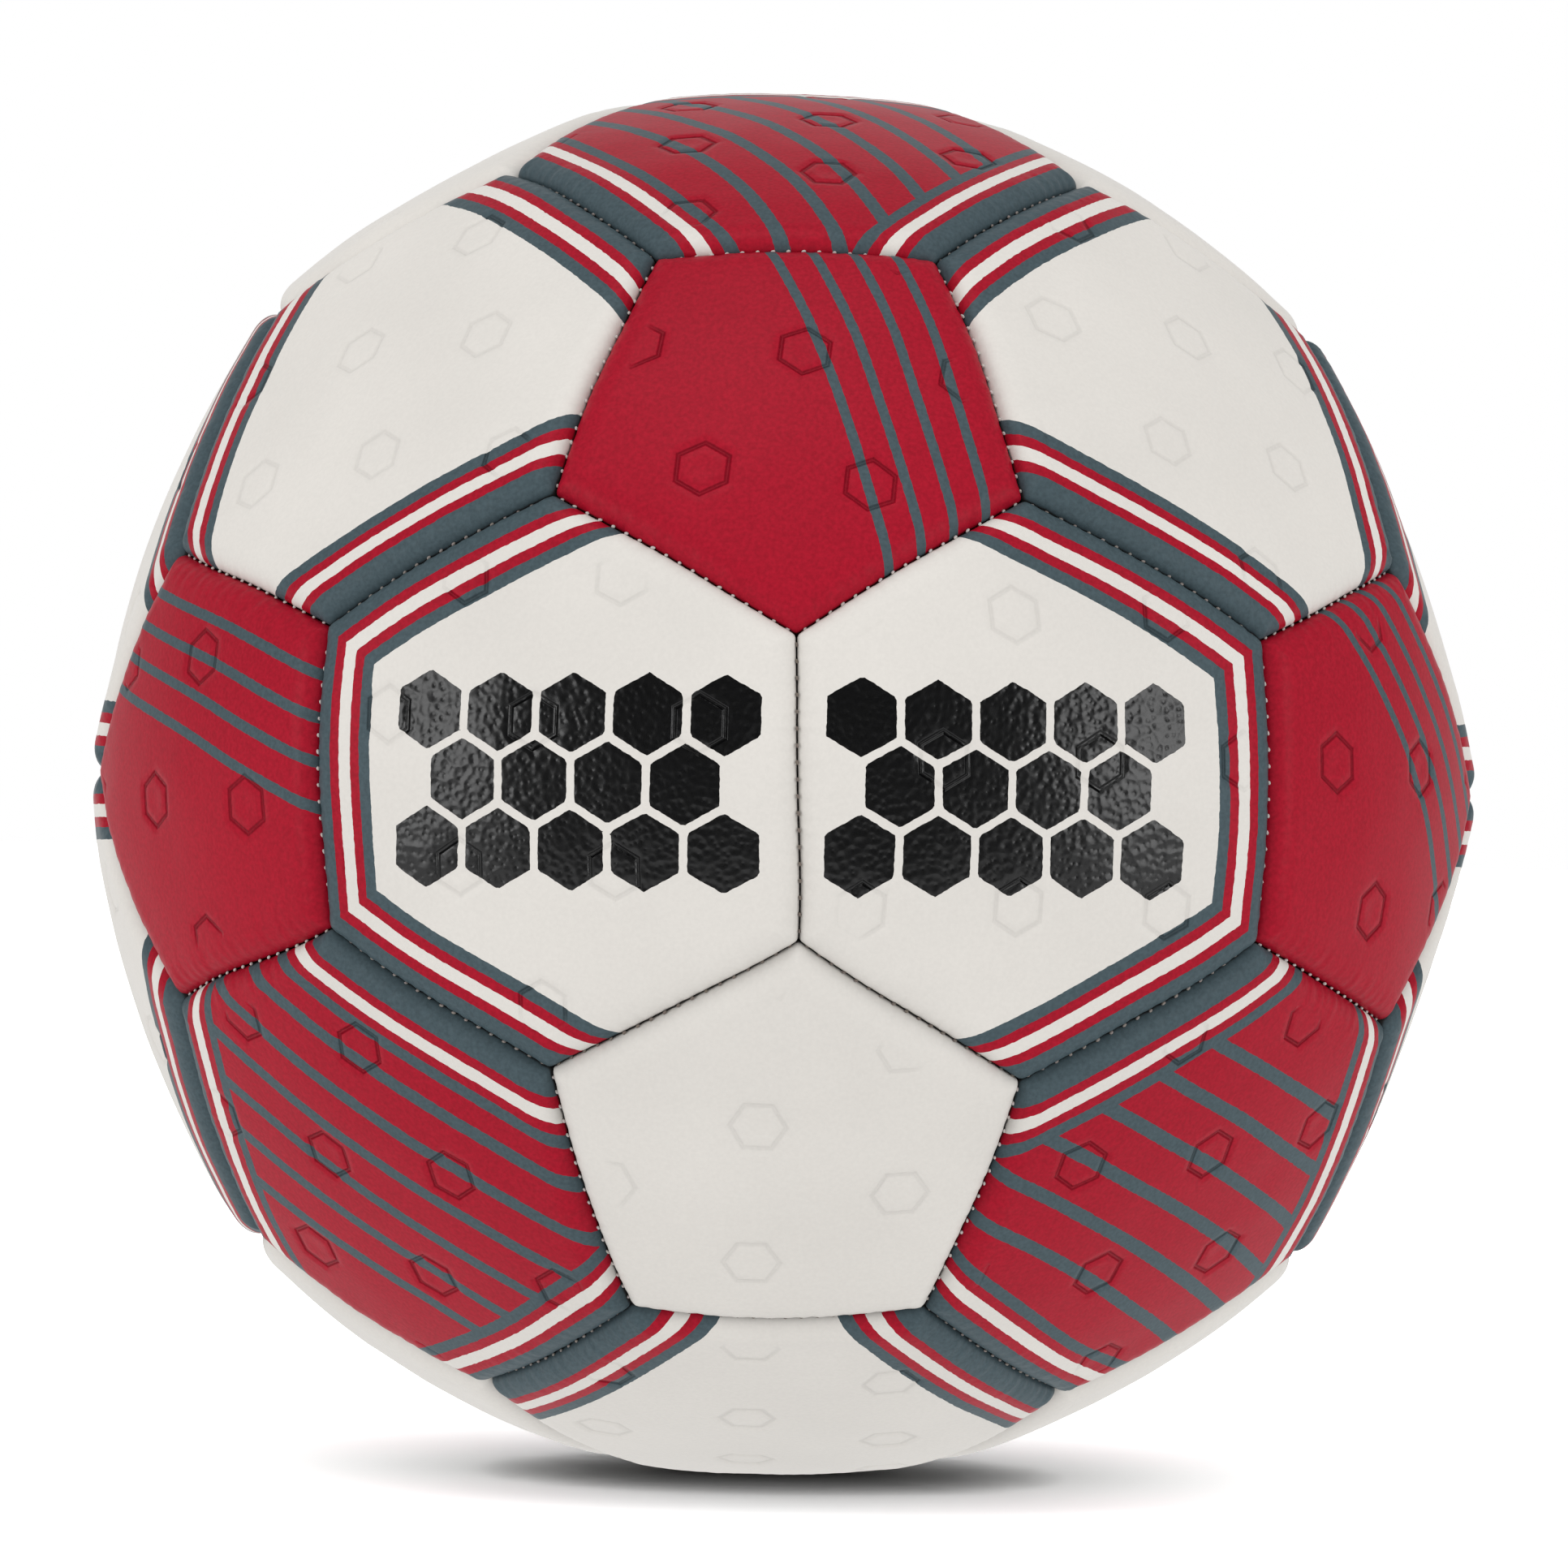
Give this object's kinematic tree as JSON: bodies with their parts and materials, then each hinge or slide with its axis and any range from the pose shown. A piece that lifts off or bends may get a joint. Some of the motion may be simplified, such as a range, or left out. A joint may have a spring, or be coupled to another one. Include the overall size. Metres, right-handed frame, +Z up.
{
  "type": "handball",
  "caption": "Stitched handball of pentagon and hexagon panels over foam and textile, with a rubber bladder and a needle valve inside.",
  "frame": {"origin": "the middle of the ball", "axes": "+Z up, -Y towards the front, where two hexagons meet at an upright seam, and +X to the right as seen from the front"},
  "size_m": [0.1882, 0.1882, 0.1882],
  "materials": {
    "red_leather": "matte",
    "white_leather": "matte",
    "panel_foam": "matte",
    "textile_backing": "matte",
    "seam_thread": "matte",
    "bladder_rubber": "matte",
    "valve_rubber": "satin",
    "core_rubber": "satin"
  },
  "bodies": {
    "root": {"pentagon_front_upper": "red_leather", "pentagon_front_lower": "white_leather", "pentagon_back_upper": "red_leather", "pentagon_back_lower": "white_leather", "pentagon_right_front": "red_leather", "pentagon_left_front": "red_leather", "pentagon_right_back": "red_leather", "pentagon_left_back": "red_leather", "pentagon_top_right": "white_leather", "pentagon_top_left": "white_leather", "pentagon_bottom_right": "white_leather", "pentagon_bottom_left": "white_leather", "hexagon_front_right": "white_leather", "hexagon_front_left": "white_leather", "hexagon_back_right": "white_leather", "hexagon_back_left": "white_leather", "hexagon_top_front": "red_leather", "hexagon_top_back": "red_leather", "hexagon_bottom_front": "white_leather", "hexagon_bottom_back": "white_leather", "hexagon_right_upper": "white_leather", "hexagon_right_lower": "white_leather", "hexagon_left_upper": "white_leather", "hexagon_left_lower": "white_leather", "hexagon_front_right_upper": "white_leather", "hexagon_front_left_upper": "white_leather", "hexagon_front_right_lower": "red_leather", "hexagon_front_left_lower": "red_leather", "hexagon_back_right_upper": "white_leather", "hexagon_back_left_upper": "white_leather", "hexagon_back_right_lower": "red_leather", "hexagon_back_left_lower": "red_leather", "pentagon_foams": "panel_foam", "hexagon_foams": "panel_foam", "pentagon_backings": "textile_backing", "hexagon_backings": "textile_backing", "pentagon_seam_threads": "seam_thread", "hexagon_seam_threads": "seam_thread", "bladder": "bladder_rubber", "valve_body": "valve_rubber", "valve_core": "core_rubber"}
  },
  "joints": []
}
